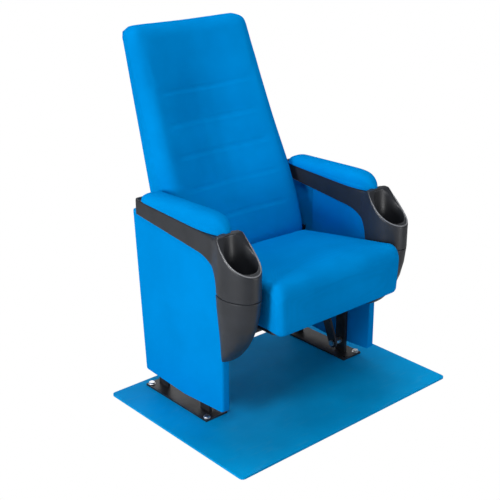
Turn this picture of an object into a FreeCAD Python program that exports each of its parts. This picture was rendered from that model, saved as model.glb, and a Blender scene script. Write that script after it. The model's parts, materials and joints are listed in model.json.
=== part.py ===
import FreeCAD
import Part
import math
import os
import re
import Sketcher

# Push-back auditorium chair on its display board.
# Millimetres. +Z is up, the chair faces -Y and its middle plane is X = 0.
# The origin is at the middle of the floor anchor holes, on the underside of the board.

Vector = FreeCAD.Vector
SIDES = ((-1, "left"), (1, "right"))

SIZES = (
    # display board under the chair
    ("board_width", 834), ("board_depth", 596), ("board_thickness", 6), ("board_corner", 12),
    ("board_shift_x", -13), ("board_shift_y", -125),
    # floor plates, their bolts and the free anchor holes
    ("plate_inner_x", 244), ("plate_width", 78), ("plate_length", 288), ("plate_thickness", 6),
    ("hole_side_margin", 12), ("hole_end_margin", 12),
    ("floor_hole", 11), ("floor_bolt", 10), ("bolt_head_flats", 16), ("bolt_head_height", 6.4),
    # side standards of flat bar
    ("leg_inner_x", 277), ("leg_thickness", 10), ("leg_width", 40),
    ("front_leg_y", -94), ("rear_leg_y", 104), ("front_leg_top", 345), ("rear_leg_top", 395),
    ("rail_height", 40), ("cross_tube_width", 25), ("cross_tube_wall", 2),
    ("front_cross_z", 215), ("rear_cross_z", 150),
    # upholstered side panels
    ("panel_thickness", 25), ("panel_front_y", -205), ("panel_front_bottom_z", 57),
    ("panel_belly_y", -30), ("panel_belly_z", 43), ("panel_rear_bottom_y", 155),
    ("panel_rear_bottom_z", 55), ("panel_rear_top_y", 194), ("panel_top_round", 91),
    ("panel_foot_round", 18), ("panel_edge_bevel", 5),
    ("inner_panel_thickness", 15), ("inner_panel_rear_y", 31), ("inner_panel_bottom_z", 330),
    ("core_strip_front_y", -105), ("core_strip_rear_y", 40), ("core_strip_height", 40),
    # armrests with their cup holders
    ("apron_y", -90), ("apron_z", 526), ("apron_slope", 0.12), ("arm_gap", 0.3),
    ("arm_centre_x", 290), ("arm_half_width", 35), ("arm_rear_y", 158), ("arm_rear_z", 607),
    ("arm_rear_round", 9), ("arm_lip_width", 12), ("saddle_front_y", -216),
    ("saddle_z", 592), ("saddle_front_z", 588), ("pad_land_front_z", 581),
    ("pad_land_rear_z", 600), ("cup_y", -248), ("cup_half_width", 52), ("cup_half_length", 74),
    ("rim_middle_y", -260), ("rim_middle_z", 536), ("rim_front_z", 500),
    ("seam_z", 427), ("seam_gap", 0.4), ("cup_hole_y", -263), ("cup_hole_radius", 45),
    ("cup_floor_radius", 37), ("cup_floor_z", 438), ("tail_waist_z", 335), ("tail_waist_y", -297),
    ("tail_waist_half_width", 44), ("tail_tip_z", 222), ("tail_tip_y", -214), ("tail_tip_half_width", 23),
    ("tail_draw_in", 20),
    ("pad_front_y", -196), ("pad_rear_y", 144), ("pad_half_width", 34), ("pad_front_height", 45),
    ("pad_rear_height", 17), ("pad_front_lip", 3), ("pad_side_round", 12), ("pad_crown", 4),
    ("pad_plan_round", 30), ("pad_end_round", 26),
    # push-back linkage
    ("pin_diameter", 12), ("running_clearance", 0.05),
    ("pin_head_height", 4), ("end_play", 0.5), ("pivot_z", 370), ("hinge_plane_x", 241),
    ("hinge_plate_thickness", 8), ("hinge_pin_y", 96), ("hinge_pin_z", 255), ("link_foot_z", 52),
    ("link_head_y", 4), ("link_head_z", 292), ("link_head_play", 1.2), ("link_width", 32),
    ("foot_bolt_flats", 18), ("foot_bolt_head", 6),
    ("hinge_plate_rear_y", 126), ("hinge_plate_front_y", 66), ("hinge_plate_bottom_z", 205),
    ("hinge_plate_neck_y", 78), ("hinge_plate_top_margin", 20), ("torsion_bush_width", 36),
    ("hinge_plate_heel", 20), ("hinge_plate_hip", 20), ("hinge_plate_throat", 10),
    ("buffer_z", 225), ("buffer_diameter", 20), ("buffer_length", 12), ("buffer_gap", 0.3),
    ("buffer_bracket_thickness", 6), ("buffer_bracket_height", 26), ("buffer_bracket_foot", 24),
    # seat
    ("seat_half_width", 236), ("seat_front_y", -354), ("seat_bottom_z", 319),
    ("seat_front_top_z", 472), ("seat_rear_top_z", 411), ("seat_rear_y", 13),
    ("seat_rear_bottom_y", -24), ("seat_crown", 10), ("seat_nose_round", 34), ("seat_lip_round", 12),
    ("seat_face_bulge", 4), ("seat_side_round", 24), ("pan_thickness", 12), ("pan_half_width", 218),
    ("pan_front_y", -318), ("pan_rear_y", -40), ("pan_corner", 20), ("seat_rail_thickness", 5),
    ("seat_rail_front_y", -215), ("seat_rail_front_depth", 24), ("seat_rail_knee_y", -60),
    ("seat_rail_knee_depth", 40), ("seat_rail_web_toe", 30), ("seat_rail_web_top", 40),
    ("seat_rail_rear_margin", 20), ("seat_rail_shelf", 45),
    ("side_gap", 1),
    # backrest, measured up its rear face from the base point
    ("back_base_y", 139.5), ("back_base_z", 370), ("back_lean", 17.74), ("back_board_thickness", 10),
    ("back_board_corner", 14), ("back_board_inset", 1), ("back_tube_width", 20),
    ("back_tube_wall", 2), ("back_tube_gap", 1), ("back_upright_x", 160), ("back_upright_top", 640),
    ("back_cross_height", 60), ("back_recess_margin", 4), ("back_bolster_width", 32),
    ("back_bolster_round", 24), ("back_seam_first", 124), ("back_seam_pitch", 97),
    ("back_seam_count", 5), ("back_seam_depth", 3), ("back_seam_half_width", 7),
    # backrest stations: height up the back, half width, thickness at the bolsters, dish between them
    ("back_toe", -30), ("back_toe_half", 222), ("back_toe_thick", 110), ("back_toe_dish", 6),
    ("back_heel", 20), ("back_heel_half", 230), ("back_heel_thick", 121), ("back_heel_dish", 10),
    ("back_lumbar", 120), ("back_lumbar_half", 234), ("back_lumbar_thick", 116),
    ("back_lumbar_dish", 17), ("back_waist", 223), ("back_waist_half", 233),
    ("back_waist_thick", 107), ("back_waist_dish", 22), ("back_chest", 378), ("back_chest_half", 223),
    ("back_chest_thick", 91), ("back_chest_dish", 20), ("back_shoulder", 523),
    ("back_shoulder_half", 216), ("back_shoulder_thick", 78), ("back_shoulder_dish", 16),
    ("back_neck", 650), ("back_neck_half", 208.5), ("back_neck_thick", 70), ("back_neck_dish", 9),
    ("back_brow", 688), ("back_brow_half", 207), ("back_brow_thick", 67), ("back_brow_dish", 5),
    ("back_crest", 699), ("back_crest_half", 201), ("back_crest_thick", 60), ("back_crest_dish", 3),
    ("back_peak", 706), ("back_peak_half", 120), ("back_peak_thick", 53), ("back_peak_dish", 1),
)

doc = FreeCAD.newDocument("push_back_chair")
sheet = doc.addObject("Spreadsheet::Sheet", "sizes")
for row, (alias, number) in enumerate(SIZES, start=1):
    sheet.set("A%d" % row, alias)
    sheet.set("B%d" % row, str(number))
    sheet.setAlias("B%d" % row, alias)
doc.recompute()
ALIASES = {alias for alias, number in SIZES}
size = {alias: float(getattr(sheet, alias)) for alias in ALIASES}
nodes = {}


def formula(text):
    """Point every size named in a formula at its cell."""
    return re.sub(r"[a-z][a-z_]*[a-z]",
                  lambda found: "sizes." + found[0] if found[0] in ALIASES else found[0],
                  str(text))


def bind(thing, **formulas):
    """Bind properties to formulas of sheet sizes; a double underscore stands for a dot."""
    for name, text in formulas.items():
        thing.setExpression(name.replace("__", "."), formula(text))


def keep(node, thing):
    thing.Label = node
    nodes[node] = thing
    return thing


def new_body(node):
    return keep(node, doc.addObject("PartDesign::Body", node))


def new_sketch(body, role, offset="0"):
    """Sketch on one of the body's own origin planes, moved along the plane's normal."""
    sketch = body.newObject("Sketcher::SketchObject", body.Name + "_sketch")
    plane = [item for item in body.Origin.OriginFeatures if item.Role == role][0]
    sketch.AttachmentSupport = [(plane, "")]
    sketch.MapMode = "FlatFace"
    bind(sketch, AttachmentOffset__Base__z=offset)
    return sketch


def hold_point(sketch, geometry, point, across, up):
    for kind, text in (("DistanceX", across), ("DistanceY", up)):
        index = sketch.addConstraint(Sketcher.Constraint(kind, -1, 1, geometry, point, 1.0))
        sketch.setExpression("Constraints[%d]" % index, formula(text))


def draw_outline(sketch, corners):
    """Closed straight outline; every corner is held by two formulas from the sketch's origin."""
    first = sketch.GeometryCount
    count = len(corners)
    turn = 2 * math.pi / count
    places = [Vector(100 * math.cos(turn * i), 100 * math.sin(turn * i), 0) for i in range(count)]
    for i in range(count):
        sketch.addGeometry(Part.LineSegment(places[i], places[(i + 1) % count]), False)
    for i in range(count):
        sketch.addConstraint(Sketcher.Constraint("Coincident", first + i, 2, first + (i + 1) % count, 1))
    for i, (across, up) in enumerate(corners):
        hold_point(sketch, first + i, 1, across, up)


def draw_circle(sketch, across, up, diameter):
    circle = sketch.addGeometry(Part.Circle(Vector(1, 1, 0), Vector(0, 0, 1), 5), False)
    index = sketch.addConstraint(Sketcher.Constraint("Diameter", circle, 10.0))
    sketch.setExpression("Constraints[%d]" % index, formula(diameter))
    hold_point(sketch, circle, 3, across, up)


def pad(body, sketch, length, reverse=False):
    feature = body.newObject("PartDesign::Pad", body.Name + "_pad")
    feature.Profile = sketch
    feature.Reversed = reverse
    bind(feature, Length=length)
    doc.recompute()
    return feature


def corner_edges(shape, axis, chosen):
    """Names of the straight corner edges along an axis whose middles pass the test."""
    names = []
    for i, edge in enumerate(shape.Edges, start=1):
        along = edge.tangentAt(edge.FirstParameter)
        if edge.Curve.TypeId != "Part::GeomLine" or abs(along.dot(axis)) < 0.999:
            continue
        faces = shape.ancestorsOfType(edge, Part.Face)
        if len(faces) == 2 and all(face.Surface.TypeId == "Part::GeomPlane" for face in faces):
            if chosen(edge.CenterOfMass):
                names.append("Edge%d" % i)
    return names


def fillet(body, feature, edges, radius):
    rounding = body.newObject("PartDesign::Fillet", body.Name + "_round")
    rounding.Base = (feature, edges)
    bind(rounding, Radius=radius)
    doc.recompute()
    return rounding


def side_plate(node, side, inner_x, thickness, corners, circles=()):
    """Flat plate that stands fore and aft on one side, cut to an outline in Y and Z."""
    body = new_body(node)
    sketch = new_sketch(body, "YZ_Plane", "%d * (%s)" % (side, inner_x))
    draw_outline(sketch, corners)
    for circle in circles:
        draw_circle(sketch, *circle)
    return body, pad(body, sketch, thickness, side < 0)


def draw_square(sketch, middle_across, middle_up, width):
    corners = ((-1, -1), (1, -1), (1, 1), (-1, 1))
    draw_outline(sketch, [("(%s) + %d * (%s) / 2" % (middle_across, across, width),
                           "(%s) + %d * (%s) / 2" % (middle_up, up, width)) for across, up in corners])


def cross_bar(node, half_length, middle_y, middle_z, width, wall):
    """Square tube from side to side."""
    body = new_body(node)
    sketch = new_sketch(body, "YZ_Plane", "-(%s)" % half_length)
    draw_square(sketch, middle_y, middle_z, width)
    draw_square(sketch, middle_y, middle_z, "%s - 2 * %s" % (width, wall))
    pad(body, sketch, "2 * (%s)" % half_length)
    return body


def block(name, x, y, z, length, width, height):
    """Square block from its low corner."""
    box = doc.addObject("Part::Box", name)
    bind(box, Placement__Base__x=x, Placement__Base__y=y, Placement__Base__z=z)
    bind(box, Length=length, Width=width, Height=height)
    return box


TURNED = {"x": FreeCAD.Rotation(Vector(0, 1, 0), 90), "y": FreeCAD.Rotation(Vector(1, 0, 0), -90),
          "z": FreeCAD.Rotation()}


def rod(name, axis, x, y, z, diameter, length):
    """Round rod that starts at a point and runs along +X, +Y or +Z."""
    cylinder = doc.addObject("Part::Cylinder", name)
    cylinder.Placement = FreeCAD.Placement(Vector(), TURNED[axis])
    bind(cylinder, Placement__Base__x=x, Placement__Base__y=y, Placement__Base__z=z)
    bind(cylinder, Radius="(%s) / 2" % diameter, Height=length)
    return cylinder


def hexagon(name, axis, x, y, z, flats, height):
    """Hexagonal bolt head."""
    prism = doc.addObject("Part::Prism", name)
    prism.Polygon = 6
    prism.Placement = FreeCAD.Placement(Vector(), TURNED[axis])
    bind(prism, Placement__Base__x=x, Placement__Base__y=y, Placement__Base__z=z)
    bind(prism, Circumradius="(%s) / sqrt(3)" % flats, Height=height)
    return prism


def fuse(name, *things):
    joined = doc.addObject("Part::MultiFuse", name)
    joined.Shapes = list(things)
    joined.Refine = True
    return joined


def cut(name, base, tool):
    rest = doc.addObject("Part::Cut", name)
    rest.Base = base
    rest.Tool = tool
    return rest


def group(node, things):
    """Like pieces that share one node and stay separate solids."""
    compound = doc.addObject("Part::Compound", node)
    compound.Links = list(things)
    return keep(node, compound)


def feature(node, shape, placement=None):
    """Moulded or padded piece whose shape is worked out from the sheet's sizes."""
    thing = doc.addObject("Part::Feature", node)
    thing.Shape = shape
    if placement:
        thing.Placement = placement
    return keep(node, thing)


def spanned(side, low, high):
    """Lower X of a span that is given by its distances from the middle plane."""
    return "(%s)" % low if side > 0 else "-(%s)" % high


# Places that several pieces share
LEG_OUTER_X = "(leg_inner_x + leg_thickness)"
BOLT_ROW_X = "(plate_inner_x + plate_width - hole_side_margin)"
ANCHOR_ROW_X = "(plate_inner_x + hole_side_margin)"
HOLE_ROW_Y = "(plate_length / 2 - hole_end_margin)"
PLATE_TOP = "(board_thickness + plate_thickness)"
RAIL_BOTTOM = "(front_leg_top - rail_height)"
PAN_BOTTOM = "(seat_bottom_z - pan_thickness)"
HINGE_OUTER_X = "(hinge_plane_x + hinge_plate_thickness)"
SEAT_RAIL_X = "(hinge_plane_x - side_gap - seat_rail_thickness)"
PIN_HOLE = "pin_diameter + 2 * running_clearance"


def apron(y):
    """Formula of the sloping parting line between side panel and armrest."""
    return "apron_z + apron_slope * ((%s) - apron_y)" % y


def apron_at(y):
    return size["apron_z"] + size["apron_slope"] * (y - size["apron_y"])


def base_board():
    body = new_body("base_board")
    sketch = new_sketch(body, "XY_Plane")
    left, right = ("board_shift_x - board_width / 2", "board_shift_x + board_width / 2")
    front, rear = ("board_shift_y - board_depth / 2", "board_shift_y + board_depth / 2")
    draw_outline(sketch, ((left, front), (right, front), (right, rear), (left, rear)))
    for row_x in (BOLT_ROW_X, ANCHOR_ROW_X):
        for x_sign in (-1, 1):
            for y_sign in (-1, 1):
                draw_circle(sketch, "%d * %s" % (x_sign, row_x), "%d * %s" % (y_sign, HOLE_ROW_Y),
                            "floor_hole")
    board = pad(body, sketch, "board_thickness")
    fillet(body, board, corner_edges(board.Shape, Vector(0, 0, 1), lambda middle: True), "board_corner")


def floor_plate(side, name):
    body = new_body(name + "_floor_plate")
    sketch = new_sketch(body, "XY_Plane", "board_thickness")
    near, far = ("%d * plate_inner_x" % side, "%d * (plate_inner_x + plate_width)" % side)
    draw_outline(sketch, ((near, "-plate_length / 2"), (far, "-plate_length / 2"),
                          (far, "plate_length / 2"), (near, "plate_length / 2")))
    for row_x in (BOLT_ROW_X, ANCHOR_ROW_X):
        for y_sign in (-1, 1):
            draw_circle(sketch, "%d * %s" % (side, row_x), "%d * %s" % (y_sign, HOLE_ROW_Y), "floor_hole")
    pad(body, sketch, "plate_thickness")


def leg(side, name, end, middle_y, top, pivot_z):
    """Flat-bar leg welded to the floor plate, with its pivot hole."""
    low, high = ("%s - leg_width / 2" % middle_y, "%s + leg_width / 2" % middle_y)
    side_plate("%s_%s_leg" % (name, end), side, "leg_inner_x", "leg_thickness",
               ((low, PLATE_TOP), (high, PLATE_TOP), (high, top), (low, top)),
               ((middle_y, pivot_z, PIN_HOLE),))


def side_rail(side, name):
    """Flat bar welded between the two legs."""
    front, rear = ("front_leg_y + leg_width / 2", "rear_leg_y - leg_width / 2")
    side_plate(name + "_side_rail", side, "leg_inner_x", "leg_thickness",
               ((front, RAIL_BOTTOM), (rear, RAIL_BOTTOM), (rear, "front_leg_top"), (front, "front_leg_top")))


def round_panel(body, panel, outer_x):
    """Round the panel's top front corner and its lower corners, and bevel the edge of its show face."""
    axis = Vector(1, 0, 0)
    front_y = size["panel_front_y"]
    middle_z = size["seam_z"]
    top = corner_edges(panel.Shape, axis, lambda at: abs(at.y - front_y) < 0.01 and at.z > middle_z)
    panel = fillet(body, panel, top, "panel_top_round")
    foot = corner_edges(panel.Shape, axis,
                        lambda at: at.z < middle_z and abs(at.y - size["panel_belly_y"]) > 1)
    panel = fillet(body, panel, foot, "panel_foot_round")
    names = ["Edge%d" % i for i, edge in enumerate(panel.Shape.Edges, start=1)
             if all(abs(vertex.X - outer_x) < 0.01 for vertex in edge.Vertexes)
             and edge.CenterOfMass.z < middle_z]
    bevel = body.newObject("PartDesign::Chamfer", body.Name + "_bevel")
    bevel.Base = (panel, names)
    bind(bevel, Size="panel_edge_bevel")
    doc.recompute()


def side_panel(side, name):
    """Upholstered outer panel, on the outer faces of the legs, with the armrest along its top edge."""
    corners = (("panel_front_y", "panel_front_bottom_z"), ("panel_belly_y", "panel_belly_z"),
               ("panel_rear_bottom_y", "panel_rear_bottom_z"),
               ("panel_rear_top_y", apron("panel_rear_top_y")), ("panel_front_y", apron("panel_front_y")))
    body, panel = side_plate(name + "_side_panel", side, LEG_OUTER_X, "panel_thickness", corners)
    outer_x = size["leg_inner_x"] + size["leg_thickness"] + size["panel_thickness"]
    round_panel(body, panel, side * outer_x)


def inner_panel(side, name):
    """Upholstered panel between seat and armrest, on the inner face of the standard."""
    corners = (("panel_front_y", "inner_panel_bottom_z"), ("inner_panel_rear_y", "inner_panel_bottom_z"),
               ("inner_panel_rear_y", apron("inner_panel_rear_y")), ("panel_front_y", apron("panel_front_y")))
    body, panel = side_plate(name + "_inner_panel", side, "leg_inner_x - inner_panel_thickness",
                             "inner_panel_thickness", corners)
    front_y = size["panel_front_y"]
    low = size["inner_panel_bottom_z"] + 1
    edges = corner_edges(panel.Shape, Vector(1, 0, 0), lambda at: abs(at.y - front_y) < 0.01 and at.z > low)
    fillet(body, panel, edges, "panel_top_round")


def core_strip(side, name):
    """Wooden strip between the two panels, under the armrest."""
    ends = ("core_strip_front_y", "core_strip_rear_y")
    corners = tuple((y, "%s - core_strip_height" % apron(y)) for y in ends)
    corners += tuple((y, apron(y)) for y in reversed(ends))
    side_plate(name + "_core_strip", side, "leg_inner_x", "leg_thickness", corners)


def floor_bolts():
    """Hexagon bolts that hold the floor plates to the board."""
    bolts = []
    for x_sign in (-1, 1):
        for y_sign in (-1, 1):
            x, y = ("%d * %s" % (x_sign, BOLT_ROW_X), "%d * %s" % (y_sign, HOLE_ROW_Y))
            head = hexagon("bolt_head", "z", x, y, PLATE_TOP, "bolt_head_flats", "bolt_head_height")
            shank = rod("bolt_shank", "z", x, y, "end_play", "floor_bolt", PLATE_TOP + " - end_play")
            bolts.append(fuse("floor_bolt", head, shank))
    group("floor_bolts", bolts)


def ellipse_point(middle_y, half_width, half_length, turn):
    """Point of an oval, turned from its widest place towards the front."""
    return Vector(half_width * math.cos(turn), middle_y - half_length * math.sin(turn), 0)


def pad_land_at(y):
    """Height of the sloping land that the pad rests on."""
    slope = (size["pad_land_rear_z"] - size["pad_land_front_z"]) / (size["pad_rear_y"] - size["pad_front_y"])
    return size["pad_land_front_z"] + slope * (y - size["pad_front_y"])


def arm_plan():
    """Armrest from above: straight beam, neck and the oval of the cup."""
    rear, half = (size["arm_rear_y"], size["arm_half_width"])
    cup_y, wide, long = (size["cup_y"], size["cup_half_width"], size["cup_half_length"])
    join = math.asin((cup_y - size["saddle_front_y"]) / long)
    flare = -wide * math.sin(join) / (long * math.cos(join))
    neck = size["saddle_front_y"] + (wide * math.cos(join) - half) / flare
    oval = [ellipse_point(cup_y, wide, long, join + (math.pi - 2 * join) * i / 6) for i in range(7)]
    corners = [oval[6], Vector(-half, neck, 0), Vector(-half, rear, 0), Vector(half, rear, 0),
               Vector(half, neck, 0), oval[0]]
    curves = [Part.LineSegment(near, far) for near, far in zip(corners, corners[1:])]
    curves += [Part.Arc(oval[i], oval[i + 1], oval[i + 2]) for i in (0, 2, 4)]
    return Part.Face(Part.Wire([curve.toShape() for curve in curves]))


def arm_profile():
    """Armrest from the side: apron over the panels, pad land between two lips, saddle and scooped rim."""
    rear, gap = (size["arm_rear_y"], size["arm_gap"])
    lean = math.hypot(1, size["apron_slope"])
    radius = size["panel_top_round"]
    centre_y = size["panel_front_y"] + radius
    centre_z = apron_at(centre_y) - radius * lean
    bend = math.pi / 2 + math.atan(size["apron_slope"])
    hollow = [Vector(0, centre_y + (radius + gap) * math.cos(turn),
                     centre_z + (radius + gap) * math.sin(turn))
              for turn in (math.pi, (math.pi + bend) / 2, bend)]
    front = size["cup_y"] - size["cup_half_length"] - 1
    rear_lip = rear - size["arm_lip_width"]
    front_lip = size["pad_front_y"] - size["pad_front_lip"]
    saddle = Vector(0, size["saddle_front_y"], size["saddle_front_z"])
    rim = Vector(0, front, size["rim_front_z"])
    upper = [hollow[2], Vector(0, rear, apron_at(rear) + gap * lean), Vector(0, rear, size["arm_rear_z"]),
             Vector(0, rear_lip, size["arm_rear_z"]), Vector(0, rear_lip, pad_land_at(rear_lip)),
             Vector(0, front_lip, pad_land_at(front_lip)), Vector(0, front_lip, size["saddle_z"]), saddle]
    lower = [rim, Vector(0, front, size["seam_z"]),
             Vector(0, size["panel_front_y"] - gap, size["seam_z"]), hollow[0]]
    curves = [Part.LineSegment(near, far) for near, far in zip(upper, upper[1:])]
    curves.append(Part.Arc(saddle, Vector(0, size["rim_middle_y"], size["rim_middle_z"]), rim))
    curves += [Part.LineSegment(near, far) for near, far in zip(lower, lower[1:])]
    curves.append(Part.Arc(*hollow))
    return Part.Face(Part.Wire([curve.toShape() for curve in curves]))


def armrest_shape(side):
    """Moulded beam that widens into the cup holder: its plan and its side view, met and hollowed."""
    wide = size["cup_half_width"] + 1
    column = arm_plan().extrude(Vector(0, 0, size["arm_rear_z"]))
    column.translate(Vector(0, 0, size["seam_z"] - 1))
    profile = arm_profile().extrude(Vector(2 * wide, 0, 0))
    profile.translate(Vector(-wide, 0, 0))
    arm = column.common(profile).removeSplitter()
    rear_top = [edge for edge in arm.Edges if edge.CenterOfMass.y > size["arm_rear_y"] - 0.01
                and edge.CenterOfMass.z > size["arm_rear_z"] - 0.01]
    arm = arm.makeFillet(size["arm_rear_round"], rear_top)
    depth = size["rim_middle_z"] - size["cup_floor_z"]
    flare = (size["cup_hole_radius"] - size["cup_floor_radius"]) / depth
    reach = size["arm_rear_z"] - size["cup_floor_z"]
    hole = Part.makeCone(size["cup_floor_radius"], size["cup_floor_radius"] + flare * reach, reach,
                         Vector(0, size["cup_hole_y"], size["cup_floor_z"]))
    arm = arm.cut(hole)
    arm.translate(Vector(side * size["arm_centre_x"], 0, 0))
    return arm


def tail_shape(side):
    """Tapering cover below the cup: oval column cut by its front curve and by two drawn-in flanks."""
    face_y, top = (size["panel_front_y"] - size["arm_gap"], size["seam_z"] - size["seam_gap"])
    wide, long = (size["cup_half_width"] + 1, size["cup_half_length"] + 1)
    front = size["cup_y"] - long
    low = size["tail_tip_z"]
    column = arm_plan().extrude(Vector(0, 0, top - low))
    column.translate(Vector(0, 0, low))
    nose = [Vector(-wide, size["cup_y"] - size["cup_half_length"], top),
            Vector(-wide, size["tail_waist_y"], size["tail_waist_z"]), Vector(-wide, size["tail_tip_y"], low)]
    rear = [Vector(-wide, face_y, low), Vector(-wide, face_y, top)]
    curves = [Part.Arc(*nose), Part.LineSegment(nose[2], rear[0]), Part.LineSegment(*rear),
              Part.LineSegment(rear[1], nose[0])]
    side_view = Part.Face(Part.Wire([curve.toShape() for curve in curves])).extrude(Vector(2 * wide, 0, 0))
    tail = column.common(side_view)
    draw_in = math.tan(math.radians(size["tail_draw_in"]))
    for way in (-1, 1):
        shoulder, waist, tip = (Vector(way * (half + draw_in * (size["cup_y"] - front)), front, height)
                                for half, height in ((size["cup_half_width"], top),
                                                     (size["tail_waist_half_width"], size["tail_waist_z"]),
                                                     (size["tail_tip_half_width"], low)))
        outside = Vector(way * 4 * wide, front, 0)
        corners = [tip, Vector(outside.x, front, low), Vector(outside.x, front, top), shoulder]
        curves = [Part.Arc(shoulder, waist, tip)]
        curves += [Part.LineSegment(near, far) for near, far in zip(corners, corners[1:])]
        flank = Part.Face(Part.Wire([curve.toShape() for curve in curves]))
        depth = face_y - front + 1
        tail = tail.cut(flank.extrude(Vector(-way * draw_in * depth, depth, 0)))
    tail = tail.removeSplitter()
    tail.translate(Vector(side * size["arm_centre_x"], 0, 0))
    return tail


def arm_pad(side, name):
    """Padded top of the armrest: its end view run along the slope, trimmed to its plan and wedge."""
    front, rear, half = (size["pad_front_y"], size["pad_rear_y"], size["pad_half_width"])
    deep, shallow, gap = (size["pad_front_height"], size["pad_rear_height"], size["arm_gap"])
    base, base_rear = (pad_land_at(front) + gap, pad_land_at(rear) + gap)
    top, top_rear = (base + deep, base_rear + shallow)
    length = rear - front

    roll, bow = (size["pad_side_round"], size["pad_crown"])
    shoulder = top - bow - roll
    right = [Vector(half, front, shoulder), Vector(half - roll, front, top - bow)]
    left = [Vector(-point.x, point.y, point.z) for point in right]
    foot = [Vector(half, front, base - deep), Vector(-half, front, base - deep)]
    lean = roll * (1 - math.sqrt(0.5))
    edge = [Part.LineSegment(foot[1], foot[0]), Part.LineSegment(foot[0], right[0]),
            Part.Arc(right[0], Vector(half - lean, front, top - bow - lean), right[1]),
            Part.Arc(right[1], Vector(0, front, top), left[1]),
            Part.Arc(left[1], Vector(lean - half, front, top - bow - lean), left[0]),
            Part.LineSegment(left[0], foot[1])]
    run = Part.Face(Part.Wire([curve.toShape() for curve in edge])).extrude(Vector(0, length + deep, 0))
    run.translate(Vector(0, -deep / 2, 0))
    slope = math.degrees(math.atan2(top_rear - top, length))
    run.rotate(Vector(0, front, top), Vector(1, 0, 0), slope)

    turn, nose = (size["pad_plan_round"], size["pad_end_round"])
    bend = 1 - math.sqrt(0.5)
    outline = [(front, base), (front, top - nose), (front + bend * nose, top - bend * nose),
               (front + nose, top),
               (front + 2 * nose, top + bow), (rear - 2 * turn, top + bow), (rear, base_rear + shallow / 2),
               (rear, base_rear)]
    side_view = Part.makePolygon([Vector(-half, y, z) for y, z in outline + outline[:1]])
    wedge = Part.Face(side_view).extrude(Vector(2 * half, 0, 0))
    prism = Part.makeBox(2 * half, length, 4 * deep, Vector(-half, front, base - deep))
    prism = prism.makeFillet(turn, [edge for edge in prism.Edges if edge.BoundBox.ZLength > deep])
    shape = run.common(wedge).common(prism).removeSplitter()
    shape.translate(Vector(side * size["arm_centre_x"], 0, 0))
    feature(name + "_arm_pad", shape)


def swing_link(side, name):
    """Front swing link: flat bar with round ends, bored at its foot, with a welded stud at its head."""
    dy, dz = (size["link_head_y"] - size["front_leg_y"], size["link_head_z"] - size["link_foot_z"])
    length = math.hypot(dy, dz)
    radius, thickness = (size["link_width"] / 2, size["hinge_plate_thickness"])
    bore = size["pin_diameter"] / 2 + size["running_clearance"]
    bar = Part.makeBox(thickness, 2 * radius, length, Vector(0, -radius, 0))
    for height in (0, length):
        bar = bar.fuse(Part.makeCylinder(radius, thickness, Vector(0, 0, height), Vector(1, 0, 0)))
    bar = bar.cut(Part.makeCylinder(bore, thickness, Vector(), Vector(1, 0, 0)))
    reach = size["side_gap"] + size["seat_rail_thickness"] + size["pin_head_height"]
    start = -reach if side > 0 else thickness
    head_stud = Part.makeCylinder(size["pin_diameter"] / 2, reach, Vector(start, 0, length), Vector(1, 0, 0))
    bar = bar.fuse(head_stud)
    low = size["hinge_plane_x"] if side > 0 else -size["hinge_plane_x"] - thickness
    turn = FreeCAD.Rotation(Vector(1, 0, 0), -math.degrees(math.atan2(dy, dz)))
    place = FreeCAD.Placement(Vector(low, size["front_leg_y"], size["link_foot_z"]), turn)
    feature(name + "_swing_link", bar.removeSplitter(), place)


def headed_pin(name, side, y, z, head, shank):
    """Pivot bolt with a hexagon head; head and shank are spans from the middle plane."""
    parts = [make(name + what, "x", spanned(side, *span), y, z, across, "(%s) - (%s)" % (span[1], span[0]))
             for make, what, span, across in ((hexagon, "_head", head, "foot_bolt_flats"),
                                              (rod, "_shank", shank, "pin_diameter"))]
    return fuse(name, *parts)


def pivot_pins():
    """Back pivots in their rubber torsion bushes, shouldered foot bolts of the links, seat hinge pins."""
    back_pins, bushes, foot_bolts, seat_pins = ([], [], [], [])
    inner = "hinge_plane_x - end_play"
    outer = HINGE_OUTER_X + " + end_play"
    gap = "leg_inner_x - (%s)" % outer
    for side, name in SIDES:
        start = spanned(side, outer, "leg_inner_x")
        back_pins.append(headed_pin("back_pivot_pin", side, "rear_leg_y", "pivot_z",
                                    (inner + " - pin_head_height", inner), (inner, LEG_OUTER_X)))
        sleeve = block("bush_sleeve", start, "rear_leg_y - torsion_bush_width / 2",
                       "pivot_z - torsion_bush_width / 2", gap, "torsion_bush_width", "torsion_bush_width")
        bore = rod("bush_bore", "x", start, "rear_leg_y", "pivot_z", PIN_HOLE, gap)
        bushes.append(cut("torsion_bush", sleeve, bore))
        head = hexagon("foot_bolt_hex", "x", spanned(side, inner + " - foot_bolt_head", inner), "front_leg_y",
                       "link_foot_z", "foot_bolt_flats", "foot_bolt_head")
        shank = rod("foot_bolt_shank", "x", spanned(side, inner, LEG_OUTER_X), "front_leg_y", "link_foot_z",
                    "pin_diameter", "%s - (%s)" % (LEG_OUTER_X, inner))
        shoulder = hexagon("foot_bolt_shoulder", "x", start, "front_leg_y", "link_foot_z",
                           "foot_bolt_flats", gap)
        foot_bolts.append(fuse("link_foot_bolt", head, shank, shoulder))
        seat_pins.append(headed_pin("seat_hinge_pin", side, "hinge_pin_y", "hinge_pin_z",
                                    (SEAT_RAIL_X + " - pin_head_height", SEAT_RAIL_X),
                                    (SEAT_RAIL_X, HINGE_OUTER_X)))
    group("back_pivot_pins", back_pins)
    group("torsion_bushes", bushes)
    group("link_foot_bolts", foot_bolts)
    group("seat_hinge_pins", seat_pins)


BACK_CENTRE = "(back_board_thickness + back_tube_gap + back_tube_width / 2)"
CROSS_Y = "back_base_y + back_cross_height * sin(back_lean) - %s * cos(back_lean)" % BACK_CENTRE
CROSS_Z = "back_base_z + back_cross_height * cos(back_lean) + %s * sin(back_lean)" % BACK_CENTRE


HEEL_Y = "hinge_pin_y + hinge_plate_heel"


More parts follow.
